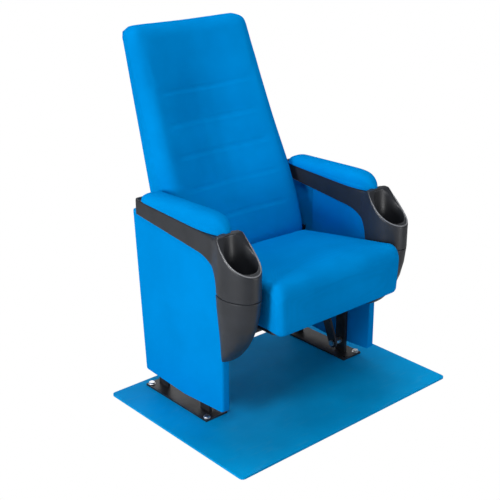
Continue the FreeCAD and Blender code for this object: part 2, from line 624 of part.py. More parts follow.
def hinge_plate(side, name):
    """Steel plate on each side of the back: back tube above, pivot, seat hinge and rest stop below."""
    top = "%s + hinge_plate_top_margin" % CROSS_Z
    corners = (("hinge_plate_front_y", "hinge_plate_bottom_z"), (HEEL_Y, "hinge_plate_bottom_z"),
               (HEEL_Y, "buffer_z + buffer_diameter / 2 + side_gap"),
               ("hinge_plate_rear_y", "pivot_z - hinge_plate_hip"),
               ("%s + hinge_plate_top_margin" % CROSS_Y, CROSS_Z),
               ("%s + hinge_plate_top_margin" % CROSS_Y, top),
               ("%s - hinge_plate_top_margin" % CROSS_Y, top),
               ("hinge_plate_neck_y", "pivot_z - hinge_plate_throat"),
               ("hinge_plate_front_y", "hinge_pin_z"))
    circles = (("rear_leg_y", "pivot_z", PIN_HOLE), ("hinge_pin_y", "hinge_pin_z", PIN_HOLE))
    side_plate(name + "_hinge_plate", side, "hinge_plane_x", "hinge_plate_thickness", corners, circles)


def rest_stop(side, name):
    """Rubber buffer that the hinge plate rests against, on an angle bracket welded to the rear leg."""
    face = HEEL_Y + " + buffer_gap"
    wall_y = face + " + buffer_length"
    low = "buffer_z - buffer_bracket_height / 2"
    wall = block("buffer_bracket_wall", spanned(side, "hinge_plane_x - side_gap", "leg_inner_x"), wall_y, low,
                 "leg_inner_x - (hinge_plane_x - side_gap)", "buffer_bracket_thickness",
                 "buffer_bracket_height")
    foot = block("buffer_bracket_foot_plate",
                 spanned(side, "leg_inner_x - buffer_bracket_thickness", "leg_inner_x"),
                 wall_y + " - buffer_bracket_foot", low, "buffer_bracket_thickness", "buffer_bracket_foot",
                 "buffer_bracket_height")
    keep(name + "_buffer_bracket", fuse(name + "_buffer_bracket", wall, foot))
    return rod("rest_buffer", "y", "%d * (hinge_plane_x + hinge_plate_thickness / 2)" % side,
               face, "buffer_z",
               "buffer_diameter", "buffer_length")


def seat_section(x, front, drop, lift):
    """Fore-and-aft outline of the seat cushion at one place across it."""
    nose, lip = (size["seat_nose_round"], size["seat_lip_round"])
    bottom = size["seat_bottom_z"] + lift
    front_top = size["seat_front_top_z"] - drop
    rear_top = size["seat_rear_top_z"] - drop
    rear, rear_foot = (size["seat_rear_y"], size["seat_rear_bottom_y"])
    bow = size["seat_face_bulge"]
    diagonal = math.sqrt(0.5)
    middle_y = (front + nose + rear) / 2
    middle_z = (front_top + rear_top) / 2 + size["seat_crown"] / 2
    points = {
        "foot": Vector(x, rear_foot, bottom), "lip": Vector(x, front + lip, bottom),
        "lip_mid": Vector(x, front + lip * (1 - diagonal), bottom + lip * (1 - diagonal)),
        "face_low": Vector(x, front, bottom + lip),
        "face_mid": Vector(x, front - bow, (bottom + lip + front_top - nose) / 2),
        "face_high": Vector(x, front, front_top - nose),
        "nose_mid": Vector(x, front + nose * (1 - diagonal), front_top - nose * (1 - diagonal)),
        "nose": Vector(x, front + nose, front_top), "top": Vector(x, middle_y, middle_z),
        "rear": Vector(x, rear, rear_top),
    }
    arcs = (("lip", "lip_mid", "face_low"), ("face_low", "face_mid", "face_high"),
            ("face_high", "nose_mid", "nose"), ("nose", "top", "rear"))
    edges = [Part.LineSegment(points["foot"], points["lip"]).toShape()]
    edges += [Part.Arc(*(points[name] for name in arc)).toShape() for arc in arcs]
    edges.append(Part.LineSegment(points["rear"], points["foot"]).toShape())
    return Part.Wire(edges)


def seat_cushion():
    """Seat cushion: crowned across, its sides rolled over and drawn in."""
    half, crown, roll = (size["seat_half_width"], size["seat_crown"], size["seat_side_round"])
    stations = []
    for turn in (90, 55, 20):
        angle = math.radians(turn)
        sunk = roll * (1 - math.cos(angle))
        stations.append((half - roll * (1 - math.sin(angle)), sunk * 0.9, sunk + crown * 0.5, sunk * 0.4))
    stations += [((half - roll) * (1 - share), 0, crown * (0.5 - math.sin(share * math.pi / 2)), 0)
                 for share in (0.2, 0.55, 1)]
    rows = [(-x, *rest) for x, *rest in stations] + [(x, *rest) for x, *rest in reversed(stations[:-1])]
    wires = [seat_section(x, size["seat_front_y"] + inset, drop, lift) for x, inset, drop, lift in rows]
    feature("seat_cushion", Part.makeLoft(wires, True, True))


def seat_pan():
    body = new_body("seat_pan")
    sketch = new_sketch(body, "XY_Plane", PAN_BOTTOM)
    draw_outline(sketch, (("-pan_half_width", "pan_front_y"), ("pan_half_width", "pan_front_y"),
                          ("pan_half_width", "pan_rear_y"), ("-pan_half_width", "pan_rear_y")))
    board = pad(body, sketch, "pan_thickness")
    fillet(body, board, corner_edges(board.Shape, Vector(0, 0, 1), lambda middle: True), "pan_corner")


def seat_rail(side, name):
    """Angle-iron rail under the seat: shelf below the pan, deep web at its two pivots."""
    rear = "hinge_pin_y + seat_rail_rear_margin"
    low = "hinge_pin_z - seat_rail_rear_margin"
    corners = (("seat_rail_front_y", PAN_BOTTOM),
               ("seat_rail_front_y", PAN_BOTTOM + " - seat_rail_front_depth"),
               ("seat_rail_knee_y", PAN_BOTTOM + " - seat_rail_knee_depth"),
               ("hinge_pin_y - seat_rail_web_toe", low),
               (rear, low), (rear, "hinge_pin_z + seat_rail_rear_margin"),
               ("link_head_y + seat_rail_web_top", PAN_BOTTOM))
    circles = (("link_head_y", "link_head_z", "pin_diameter + 2 * link_head_play"),
               ("hinge_pin_y", "hinge_pin_z", PIN_HOLE))
    body, web = side_plate(name + "_seat_rail", side, SEAT_RAIL_X, "seat_rail_thickness", corners, circles)
    sketch = new_sketch(body, "XY_Plane", PAN_BOTTOM + " - seat_rail_thickness")
    outer = "%d * (%s + seat_rail_thickness / 2)" % (side, SEAT_RAIL_X)
    inner = "%d * (%s - seat_rail_shelf)" % (side, SEAT_RAIL_X)
    draw_outline(sketch, ((inner, "seat_rail_front_y"), (outer, "seat_rail_front_y"), (outer, "pan_rear_y"),
                          (inner, "pan_rear_y")))
    pad(body, sketch, "seat_rail_thickness")


STATIONS = ("toe", "heel", "lumbar", "waist", "chest", "shoulder", "neck", "brow", "crest", "peak")


def back_at(height):
    """Half width, bolster thickness and dish of the back, in line between its stations."""
    rows = [tuple(size["back_" + name + what] for what in ("", "_half", "_thick", "_dish"))
            for name in STATIONS]
    for low, high in zip(rows, rows[1:]):
        if height <= high[0]:
            share = (height - low[0]) / (high[0] - low[0])
            return tuple(a + share * (b - a) for a, b in zip(low[1:], high[1:]))
    return rows[-1][1:]


def back_section(height, dip):
    """Outline across the back cushion: flat rear, rolled bolsters, dished between them."""
    half, thick, dish = back_at(height)
    rear = size["back_board_thickness"]
    bolster, roll = (size["back_bolster_width"], size["back_bolster_round"])
    corner = math.sqrt(0.5)

    def at(x, depth):
        return Vector(x, -depth, height)

    left = [at(-half, rear), at(-half, thick - roll),
            at(-half + bolster * (1 - corner) * 0.7, thick - roll * (1 - corner)), at(-half + bolster, thick)]
    right = [at(-point.x, -point.y) for point in reversed(left)]
    middle = at(0, thick - dish - dip)
    edges = [Part.LineSegment(left[0], left[1]), Part.Arc(left[1], left[2], left[3]),
             Part.Arc(left[3], middle, right[0]), Part.Arc(right[0], right[1], right[2]),
             Part.LineSegment(right[2], right[3]), Part.LineSegment(right[3], left[0])]
    return Part.Wire([edge.toShape() for edge in edges])


def back_placement():
    turn = FreeCAD.Rotation(Vector(-1, 0, 0), size["back_lean"])
    return FreeCAD.Placement(Vector(0, size["back_base_y"], size["back_base_z"]), turn)


def lean_back(thing):
    """Set a piece that is drawn upright on the leaning back."""
    thing.Placement = back_placement()
    bind(thing, Placement__Base__y="back_base_y", Placement__Base__z="back_base_z",
         Placement__Rotation__Angle="back_lean")


def back_cushion():
    """Back cushion with sewn cross seams, hollow behind for the tube frame."""
    half_seam = size["back_seam_half_width"]
    rows = [(size["back_" + name], 0) for name in STATIONS]
    for i in range(int(size["back_seam_count"])):
        seam = size["back_seam_first"] + i * size["back_seam_pitch"]
        rows = [row for row in rows if abs(row[0] - seam) > 1.2 * half_seam]
        rows += [(seam - half_seam, 0), (seam, size["back_seam_depth"]), (seam + half_seam, 0)]
    cushion = Part.makeLoft([back_section(*row) for row in sorted(rows)], True, True)
    margin = size["back_recess_margin"]
    tube = size["back_tube_width"]
    rear = size["back_board_thickness"]
    depth = size["back_tube_gap"] + tube + margin
    half = size["back_upright_x"] + tube / 2 + margin
    low = size["back_toe"]
    recess = Part.makeBox(2 * half, depth, size["back_upright_top"] + margin - low,
                          Vector(-half, -rear - depth, low))
    wide = size["back_heel_half"] + size["back_lumbar_half"]
    sill = Part.makeBox(2 * wide, depth, size["back_cross_height"] + tube / 2 + margin - low,
                        Vector(-wide, -rear - depth, low))
    feature("back_cushion", cushion.cut(recess.fuse(sill)).removeSplitter(), back_placement())


def back_board():
    """Rear cover board of the back."""
    body = new_body("back_board")
    sketch = new_sketch(body, "XZ_Plane")
    outline = [("back_%s_half - back_board_inset" % name, "back_" + name) for name in ("lumbar", "brow")]
    outline = [("back_toe_half - back_board_inset", "back_toe")] + outline
    outline[-1] = (outline[-1][0], "back_crest - back_board_inset")
    mirrored = [("-(%s)" % x, height) for x, height in reversed(outline)]
    draw_outline(sketch, outline + mirrored)
    board = pad(body, sketch, "back_board_thickness")
    top = size["back_brow"]
    edges = corner_edges(board.Shape, Vector(0, 1, 0), lambda middle: middle.z > top)
    fillet(body, board, edges, "back_board_corner")
    lean_back(body)


def back_frame():
    """Welded tube frame of the back: two uprights, a top tube and the cross tube between the hinges."""
    depth = "-" + BACK_CENTRE
    for side, name in SIDES:
        body = new_body(name + "_back_upright")
        start = "back_cross_height + back_tube_width / 2"
        sketch = new_sketch(body, "XY_Plane", start)
        for width in ("back_tube_width", "back_tube_width - 2 * back_tube_wall"):
            draw_square(sketch, "%d * back_upright_x" % side, depth, width)
        pad(body, sketch, "back_upright_top - (%s)" % start)
        lean_back(body)
    reach = "back_upright_x - back_tube_width / 2"
    lean_back(cross_bar("back_top_tube", reach, depth, "back_upright_top - back_tube_width / 2",
                        "back_tube_width", "back_tube_wall"))
    lean_back(cross_bar("back_cross_tube", "hinge_plane_x", depth, "back_cross_height", "back_tube_width",
                        "back_tube_wall"))


base_board()
rubbers = []
for side, name in SIDES:
    floor_plate(side, name)
    leg(side, name, "front", "front_leg_y", "front_leg_top", "link_foot_z")
    leg(side, name, "rear", "rear_leg_y", "rear_leg_top", "pivot_z")
    side_rail(side, name)
    side_panel(side, name)
    inner_panel(side, name)
    core_strip(side, name)
    feature(name + "_armrest", armrest_shape(side))
    feature(name + "_cup_tail", tail_shape(side))
    arm_pad(side, name)
    swing_link(side, name)
    hinge_plate(side, name)
    rubbers.append(rest_stop(side, name))
    seat_rail(side, name)
group("rest_buffers", rubbers)
cross_bar("front_cross_tube", "leg_inner_x", "front_leg_y", "front_cross_z",
          "cross_tube_width", "cross_tube_wall")
cross_bar("rear_cross_tube", "leg_inner_x", "rear_leg_y", "rear_cross_z",
          "cross_tube_width", "cross_tube_wall")
floor_bolts()
pivot_pins()
seat_cushion()
seat_pan()
back_cushion()
back_board()
back_frame()
doc.recompute()

for thing in doc.Objects:
    if "Invalid" in thing.State or "Error" in thing.State:
        raise ValueError("failed object: " + thing.Label)
for node, thing in nodes.items():
    if thing.Shape.isNull() or not thing.Shape.isValid() or not thing.Shape.Solids:
        raise ValueError("bad shape: " + node)

os.makedirs("parts", exist_ok=True)
for node, thing in nodes.items():
    thing.Shape.exportStep("parts/%s.step" % node)
print("%d nodes written" % len(nodes))
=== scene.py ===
"""Looks of the push-back auditorium chair: cloth, moulded plastic and steel around its CAD frame."""
import json
import math

import bpy
import numpy as np
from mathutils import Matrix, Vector


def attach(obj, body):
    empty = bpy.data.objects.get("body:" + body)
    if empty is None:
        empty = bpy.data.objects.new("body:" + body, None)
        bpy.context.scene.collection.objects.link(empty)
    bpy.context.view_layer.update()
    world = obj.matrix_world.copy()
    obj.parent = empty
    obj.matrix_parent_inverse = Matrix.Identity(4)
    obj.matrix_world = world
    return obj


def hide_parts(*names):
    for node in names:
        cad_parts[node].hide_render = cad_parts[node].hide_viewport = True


MM = 0.001

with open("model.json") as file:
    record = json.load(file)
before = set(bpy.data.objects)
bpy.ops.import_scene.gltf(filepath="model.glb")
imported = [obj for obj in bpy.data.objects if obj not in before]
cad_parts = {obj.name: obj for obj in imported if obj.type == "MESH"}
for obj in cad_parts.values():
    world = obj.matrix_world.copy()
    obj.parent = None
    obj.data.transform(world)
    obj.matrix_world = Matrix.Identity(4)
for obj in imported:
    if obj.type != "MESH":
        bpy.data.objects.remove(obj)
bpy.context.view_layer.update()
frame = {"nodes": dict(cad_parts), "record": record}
scene = bpy.context.scene


# Camera, from the photograph's own straight edges

CAMERA_PLACE = (-1.8860, -2.0973, 1.5137)
CAMERA_DOWN, CAMERA_TURN = (21.42, -41.53)
CAMERA_SENSOR, CAMERA_LENS = (36.0, 72.7)


def set_camera():
    """Camera at the photograph's place: 2.8 m off, to the left of the chair's front, looking down."""
    data = bpy.data.cameras.new("photo_camera")
    data.sensor_width = CAMERA_SENSOR
    data.lens = CAMERA_LENS
    camera = bpy.data.objects.new("photo_camera", data)
    camera.location = CAMERA_PLACE
    camera.rotation_euler = (math.radians(90 - CAMERA_DOWN), 0, math.radians(CAMERA_TURN))
    scene.collection.objects.link(camera)
    scene.camera = camera


# Materials

# The Mix node's two colours and its mixed colour, by number: their names also belong to other sockets
MIX_FIRST, MIX_SECOND, MIXED = (6, 7, 2)
# Bands that a Wave node shows in one unit of its coordinates, at scale 1
WAVE_BANDS = 3
# Thread spacing and mould grain are drawn coarser than the real ones, which are too fine to show
THREAD_MM, GRAIN_MM = (1.6, 1.1)


def hex_colour(code):
    """An sRGB hex colour as the linear colour that a shader socket takes."""
    values = [int(code[i:i + 2], 16) / 255 for i in (0, 2, 4)]
    linear = [v / 12.92 if v <= 0.04045 else ((v + 0.055) / 1.055) ** 2.4 for v in values]
    return (*linear, 1.0)


def per(millimetres):
    """Scale of a pattern on Object coordinates, which are in metres, from its real size."""
    return 1 / (millimetres * MM)


def add_node(tree, kind, inputs=None, **settings):
    """One node with its settings; an input is a value, or a (node, output) pair to link."""
    node = tree.nodes.new(kind)
    for name, value in settings.items():
        setattr(node, name, value)
    for socket, value in (inputs or {}).items():
        if isinstance(value, tuple) and isinstance(value[0], bpy.types.Node):
            tree.links.new(value[0].outputs[value[1]], node.inputs[socket])
        else:
            node.inputs[socket].default_value = value
    return node


def start_material(name):
    """A material with an empty tree, and Object coordinates to hang its patterns on."""
    material = bpy.data.materials.new(name)
    material.use_nodes = True
    tree = material.node_tree
    tree.nodes.clear()
    return material, tree, add_node(tree, "ShaderNodeTexCoord")


def end_material(tree, colour, roughness, normal=None, **values):
    """The shader and the output; values are plain numbers for the shader's own sockets."""
    inputs = {"Base Color": colour, "Roughness": roughness}
    if normal:
        inputs["Normal"] = (normal, "Normal")
    inputs.update({name.replace("_", " "): value for name, value in values.items()})
    shader = add_node(tree, "ShaderNodeBsdfPrincipled", inputs)
    add_node(tree, "ShaderNodeOutputMaterial", {"Surface": (shader, "BSDF")})


def blotches(tree, place, dark, light, size_mm, detail=3.0):
    """Soft change between two colours in patches of about the given size."""
    noise = add_node(tree, "ShaderNodeTexNoise",
                     {"Vector": (place, "Object"), "Scale": per(size_mm), "Detail": detail})
    share = add_node(tree, "ShaderNodeMapRange",
                     {"Value": (noise, "Fac"), "From Min": 0.35, "From Max": 0.65})
    return add_node(tree, "ShaderNodeMix",
                    {0: (share, "Result"), MIX_FIRST: hex_colour(dark), MIX_SECOND: hex_colour(light)},
                    data_type="RGBA")


def woven_cloth(name, dark, light, relief):
    """Plain-woven polyester: matt, a soft sheen at glancing angles, and a fine even thread grid."""
    material, tree, place = start_material(name)
    colour = blotches(tree, place, dark, light, size_mm=140)
    height = None
    for direction in ("X", "Y", "Z"):
        threads = add_node(tree, "ShaderNodeTexWave",
                           {"Vector": (place, "Object"), "Scale": per(THREAD_MM) / WAVE_BANDS,
                            "Distortion": 0.4, "Detail": 1.0}, bands_direction=direction)
        height = add_node(tree, "ShaderNodeMath",
                          {0: (threads, "Fac"), 1: (height, "Value") if height else 0.0},
                          operation="ADD")
    shade = add_node(tree, "ShaderNodeMapRange",
                     {"Value": (height, "Value"), "From Max": 3.0, "To Min": 0.95, "To Max": 1.05})
    tone = add_node(tree, "ShaderNodeHueSaturation",
                    {"Color": (colour, MIXED), "Value": (shade, "Result")})
    lint = add_node(tree, "ShaderNodeTexNoise",
                    {"Vector": (place, "Object"), "Scale": per(9), "Detail": 4.0})
    both = add_node(tree, "ShaderNodeMath",
                    {0: (height, "Value"), 1: (lint, "Fac")}, operation="ADD")
    bump = add_node(tree, "ShaderNodeBump",
                    {"Height": (both, "Value"), "Strength": relief, "Distance": 0.4 * MM})
    end_material(tree, (tone, "Color"), roughness=0.9, normal=bump, Sheen_Weight=0.12,
                 Sheen_Roughness=0.5, Sheen_Tint=hex_colour("0A9CFF"), Specular_IOR_Level=0.0)
    return material


def moulded_plastic(name, dark, light, roughness):
    """Polypropylene from a spark-eroded mould: a fine even grain, and a soft gloss rubbed in patches."""
    material, tree, place = start_material(name)
    colour = blotches(tree, place, dark, light, size_mm=55)
    grain = add_node(tree, "ShaderNodeTexVoronoi",
                     {"Vector": (place, "Object"), "Scale": per(GRAIN_MM)})
    rub = add_node(tree, "ShaderNodeTexNoise",
                   {"Vector": (place, "Object"), "Scale": per(35), "Detail": 5.0})
    gloss = add_node(tree, "ShaderNodeMapRange",
                     {"Value": (rub, "Fac"), "From Min": 0.3, "From Max": 0.7,
                      "To Min": roughness - 0.06, "To Max": roughness + 0.06})
    bump = add_node(tree, "ShaderNodeBump",
                    {"Height": (grain, "Distance"), "Strength": 0.12, "Distance": 0.15 * MM})
    end_material(tree, (colour, MIXED), (gloss, "Result"), bump, IOR=1.49)
    return material


def coated_steel(name, dark, light):
    """Powder-coated steel: near black, slightly uneven, with dust lying on it."""
    material, tree, place = start_material(name)
    colour = blotches(tree, place, dark, light, size_mm=28, detail=6.0)
    peel = add_node(tree, "ShaderNodeTexNoise",
                    {"Vector": (place, "Object"), "Scale": per(2.2), "Detail": 2.0})
    gloss = add_node(tree, "ShaderNodeMapRange",
                     {"Value": (peel, "Fac"), "To Min": 0.38, "To Max": 0.55})
    bump = add_node(tree, "ShaderNodeBump",
                    {"Height": (peel, "Fac"), "Strength": 0.15, "Distance": 0.2 * MM})
    end_material(tree, (colour, MIXED), (gloss, "Result"), bump, IOR=1.5)
    return material


def zinc_plate(name):
    """Bright zinc-plated steel: pale metal with a faint spangle."""
    material, tree, place = start_material(name)
    colour = blotches(tree, place, "B4B6B8", "D8D9DA", size_mm=4)
    spangle = add_node(tree, "ShaderNodeTexNoise", {"Vector": (place, "Object"), "Scale": per(3)})
    gloss = add_node(tree, "ShaderNodeMapRange",
                     {"Value": (spangle, "Fac"), "To Min": 0.25, "To Max": 0.42})
    end_material(tree, (colour, MIXED), (gloss, "Result"), Metallic=1.0)
    return material


def scuffed_laminate(name):
    """Blue laminate of the display board: flat, slightly glossy, greyed by dust and light scuffs."""
    material, tree, place = start_material(name)
    colour = blotches(tree, place, "0093D4", "009DE0", size_mm=160, detail=4.0)
    streak_place = add_node(tree, "ShaderNodeMapping",
                            {"Vector": (place, "Object"), "Rotation": (0, 0, 0.6),
                             "Scale": (1.0, 5.0, 1.0)})
    streaks = add_node(tree, "ShaderNodeTexNoise",
                       {"Vector": (streak_place, "Vector"), "Scale": per(60), "Detail": 6.0})
    worn = add_node(tree, "ShaderNodeMapRange",
                    {"Value": (streaks, "Fac"), "From Min": 0.56, "From Max": 0.75, "To Max": 0.16})
    scuffed = add_node(tree, "ShaderNodeMix",
                       {0: (worn, "Result"), MIX_FIRST: (colour, MIXED), MIX_SECOND: hex_colour("4F9FC8")},
                       data_type="RGBA")
    gloss = add_node(tree, "ShaderNodeMapRange",
                     {"Value": (streaks, "Fac"), "To Min": 0.42, "To Max": 0.62})
    bump = add_node(tree, "ShaderNodeBump",
                    {"Height": (streaks, "Fac"), "Strength": 0.05, "Distance": 0.3 * MM})
    end_material(tree, (scuffed, MIXED), (gloss, "Result"), bump, IOR=1.5, Specular_IOR_Level=0.02)
    return material


def bare_rubber(name):
    """Black natural rubber, matt and slightly dusty."""
    material, tree, place = start_material(name)
    colour = blotches(tree, place, "161617", "242425", size_mm=12)
    end_material(tree, (colour, MIXED), roughness=0.8, IOR=1.52)
    return material


def raw_board(name):
    """Raw particle board edge: warm brown flecks."""
    material, tree, place = start_material(name)
    colour = blotches(tree, place, "7A5B3C", "A98660", size_mm=3, detail=2.0)
    end_material(tree, (colour, MIXED), roughness=0.85)
    return material


# Helpers for meshes

def deselect():
    """Nothing selected and no edit mode, so that the next operator meets one piece alone."""
    if bpy.context.object and bpy.context.object.mode != "OBJECT":
        bpy.ops.object.mode_set(mode="OBJECT")
    bpy.ops.object.select_all(action="DESELECT")


def take(piece):
    """Makes one piece the selected and active one."""
    deselect()
    piece.select_set(True)
    bpy.context.view_layer.objects.active = piece


def in_edit(piece, step, **options):
    """One edit-mode operator on the whole of a piece."""
    take(piece)
    bpy.ops.object.mode_set(mode="EDIT")
    bpy.ops.mesh.select_all(action="SELECT")
    step(**options)
    bpy.ops.object.mode_set(mode="OBJECT")


def apply_modifier(piece, kind, **settings):
    """Adds a modifier and applies it at once."""
    take(piece)
    modifier = piece.modifiers.new("shape", kind)
    for name, value in settings.items():
        setattr(modifier, name, value)
    bpy.ops.object.modifier_apply(modifier=modifier.name)


def round_edges(piece, width_mm, segments, angle):
    """Bevels the edges where faces meet at more than an angle."""
    apply_modifier(piece, "BEVEL", width=width_mm * MM, segments=segments, limit_method="ANGLE",
                   angle_limit=math.radians(angle))


def refine(piece):
    """One round of subdivision."""
    apply_modifier(piece, "SUBSURF", levels=1, render_levels=1)


def copy_of(node, name):
    """A copy of a CAD node's solid as a new piece, its loose triangles merged."""
    piece = bpy.data.objects.new(name, frame["nodes"][node].data.copy())
    piece.data.materials.clear()
    scene.collection.objects.link(piece)
    in_edit(piece, bpy.ops.mesh.remove_doubles, threshold=0.01 * MM)
    return piece


def points_of(piece):
    """The piece's vertices as an array."""
    flat = np.zeros(len(piece.data.vertices) * 3)
    piece.data.vertices.foreach_get("co", flat)
    return flat.reshape(-1, 3)


def set_points(piece, points):
    """Moves the piece's vertices to the rows of an array."""
    piece.data.vertices.foreach_set("co", np.asarray(points, float).ravel())
    piece.data.update()


def normals_of(piece):
    """The piece's vertex normals as an array."""
    flat = np.zeros(len(piece.data.vertices) * 3)
    piece.data.vertex_normals.foreach_get("vector", flat)
    return flat.reshape(-1, 3)


def smooth_shading(piece, angle=None):
    """Smooth shading all over, or only where faces meet at less than an angle."""
    take(piece)
    if angle is None:
        bpy.ops.object.shade_smooth()
    else:
        bpy.ops.object.shade_smooth_by_angle(angle=math.radians(angle))


def finish_piece(piece, material, body, slot, *nodes):
    """Material and body of a new piece; the CAD nodes that it stands for are hidden. The slot is not used.
    """
    piece.data.materials.clear()
    piece.data.materials.append(material)
    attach(piece, body)
    if nodes:
        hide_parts(*nodes)


def shaped_block(name, cuts, place):
    """A cube, cut into rows and columns, each point of which then goes where place puts it."""
    deselect()
    bpy.ops.mesh.primitive_cube_add(size=2, location=(0, 0, 0))
    piece = bpy.context.object
    piece.name = name
    in_edit(piece, bpy.ops.mesh.subdivide, number_cuts=cuts)
    set_points(piece, place(*points_of(piece).T))
    return piece


CLOTH_FRAMES = 20
# Keeps a point that the cloth didn't move from a division by nothing
SHORTEST_MOVE = 1e-9


def plump(piece, cap_mm, held, pressure):
    """Foam under cloth: swelled by cloth pressure where it isn't held, no further than the cap."""
    refine(piece)
    start = points_of(piece)
    group = piece.vertex_groups.new(name="held")
    group.add([int(index) for index in np.nonzero(held(start))[0]], 1.0, "REPLACE")
    take(piece)
    modifier = piece.modifiers.new("padding", "CLOTH")
    cloth = modifier.settings
    cloth.quality = 5
    cloth.mass = 0.3
    cloth.tension_stiffness = 20
    cloth.compression_stiffness = 20
    cloth.shear_stiffness = 8
    cloth.bending_stiffness = 3
    cloth.use_pressure = True
    cloth.uniform_pressure_force = pressure
    cloth.vertex_group_mass = "held"
    cloth.effector_weights.gravity = 0
    modifier.point_cache.frame_start = 1
    modifier.point_cache.frame_end = CLOTH_FRAMES
    for number in range(1, CLOTH_FRAMES + 1):
        scene.frame_set(number)
    bpy.ops.object.modifier_apply(modifier=modifier.name)
    scene.frame_set(1)
    move = points_of(piece) - start
    length = np.linalg.norm(move, axis=1, keepdims=True)
    set_points(piece, start + move * np.minimum(1, cap_mm * MM / np.maximum(length, SHORTEST_MOVE)))
    piece.vertex_groups.clear()
    apply_modifier(piece, "SMOOTH", factor=0.5, iterations=3)


def fall(distance, radius):
    """How far a round edge of a given radius falls away, at a distance in from the side."""
    inward = np.clip(radius - distance, 0, radius)
    return radius - np.sqrt(radius ** 2 - inward ** 2)


def crowd(value, power):
    """Moves rows between -1 and 1 towards the two ends, where the form turns."""
    return np.sign(value) * (1 - (1 - np.abs(value)) ** power)


def nearness(distance, reach):
    """1 at an end, falling evenly to 0 at the given reach from it."""
    return np.clip(1 - distance / reach, 0, 1)


# Pieces; their sizes are in millimetres

BOTH_SIDES = (("left", -1), ("right", 1))

BACK_FOOT_Y, BACK_FOOT_Z, BACK_LEAN = (139.5, 370, math.radians(17.74))
BACK_REAR = 10
BACK_TOE, BACK_TOP = (-30, 709)
# Height up the back, half width, thickness at the bolsters and depth of the hollow
BACK_ROWS = np.array([(-30, 227, 112, 10), (20, 237, 122, 20), (120, 243, 117, 31), (223, 243, 107, 38),
                      (378, 236, 88, 38), (523, 230, 74, 33), (650, 224, 64, 24), (709, 222, 59, 15)])
# Share of the half width that the hollow takes up
HOLLOW_REACH = 0.94
# Radii of the upper corners and of the rolled sides, top and foot, and how much the top's ends rise
BACK_CORNER_ROUND, BACK_SIDE_ROLL, BACK_TOP_ROLL, BACK_FOOT_ROLL = (27, 28, 24, 18)
BACK_END_RISE = 1
# Radii of the rear edges, at the sides of back and board and at the top and foot of the board
BACK_REAR_ROUND, BOARD_END_ROUND = (20, 4)
# Rear face of the board, and how far the board reaches into the back's rear
BOARD_REAR, BOARD_OVERLAP = (0.2, 0.6)


def lean_back(x, forward, up):
    """From the upright back, in millimetres, to its leaning place in the chair."""
    y = BACK_FOOT_Y + up * math.sin(BACK_LEAN) - forward * math.cos(BACK_LEAN)
    z = BACK_FOOT_Z + up * math.cos(BACK_LEAN) + forward * math.sin(BACK_LEAN)
    return np.stack([x, y, z], axis=1) * MM


def stand_up(at):
    """The other way: x, forward and up on the back, in millimetres, of points in the chair."""
    x, y, z = at.T / MM
    y, z = (y - BACK_FOOT_Y, z - BACK_FOOT_Z)
    return (x, z * math.sin(BACK_LEAN) - y * math.cos(BACK_LEAN),
            y * math.sin(BACK_LEAN) + z * math.cos(BACK_LEAN))


def back_outline(a, c):
    """Share across, height, crest and half width of the back, from a block's rows across and up."""
    side = crowd(a, power=1.5)
    crest = BACK_TOP + BACK_END_RISE * side ** 2
    up = BACK_TOE + (crest - BACK_TOE) * (1 + crowd(c, power=1.25)) / 2
    half = np.interp(up, BACK_ROWS[:, 0], BACK_ROWS[:, 1]) - fall(crest - up, BACK_CORNER_ROUND)
    return side, up, crest, half


def rear_inset(forward):
    """How far the sides are drawn in towards the rear, by the round rear edges."""
    return fall(np.clip(forward, 0, None), BACK_REAR_ROUND)


def back_form(a, b, c):
    """Upholstered back: a broad hollow between rolled sides, a straight top with round corners."""
    side, up, crest, half = back_outline(a, c)
    thick, hollow = (np.interp(up, BACK_ROWS[:, 0], BACK_ROWS[:, column]) for column in (2, 3))
    front = thick - hollow * (1 + np.cos(np.pi * np.clip(np.abs(side) / HOLLOW_REACH, 0, 1))) / 2
    front = front - fall(half * (1 - np.abs(side)), BACK_SIDE_ROLL)
    front = front - fall(crest - up, BACK_TOP_ROLL) - fall(up - BACK_TOE, BACK_FOOT_ROLL)
    rear = BACK_REAR + fall(crest - up, BOARD_END_ROUND)
    forward = rear + (front - rear) * (1 - b) / 2
    return lean_back(side * (half - rear_inset(forward)), forward, up)


def board_form(a, b, c):
    """Cloth-covered board behind the back, with the back's outline and rounded rear edges."""
    side, up, crest, half = back_outline(a, c)
    rear = BOARD_REAR + fall(np.minimum(crest - up, up - BACK_TOE), BOARD_END_ROUND)
    forward = rear + (BACK_REAR + BOARD_OVERLAP - rear) * (1 - b) / 2
    return lean_back(side * (half - rear_inset(forward)), forward, up)


def back_panel(cloth):
    """The board's cloth."""
    piece = shaped_block("back_panel_cover", cuts=30, place=board_form)
    smooth_shading(piece, angle=40)
    finish_piece(piece, cloth, "back", "blue_panel", "back_board")


SEAM_HEIGHTS = (114, 213, 310, 407, 503)
# Where the cloth step holds the cover: beside each seam's line, up to a half width, and at the rear
SEAM_HELD, SEAM_HELD_HALF, REAR_HELD = (7, 175, 16)
# A seam's depth and half width, and how far from the sides it ends and over what length
SEAM_DEPTH, SEAM_WIDTH, SEAM_STOP, SEAM_FADE = (2.2, 3.3, 58, 24)
# A seam wanders a little along its length, and its stitches pucker the cloth
SEAM_WANDER, WANDER_LENGTH, PUCKER_LENGTH = (1.2, 37, 5.5)
# The cloth's soft roll under each seam: height, place below it and half width
ROLL_HEIGHT, ROLL_BELOW, ROLL_WIDTH = (0.6, 11, 6)


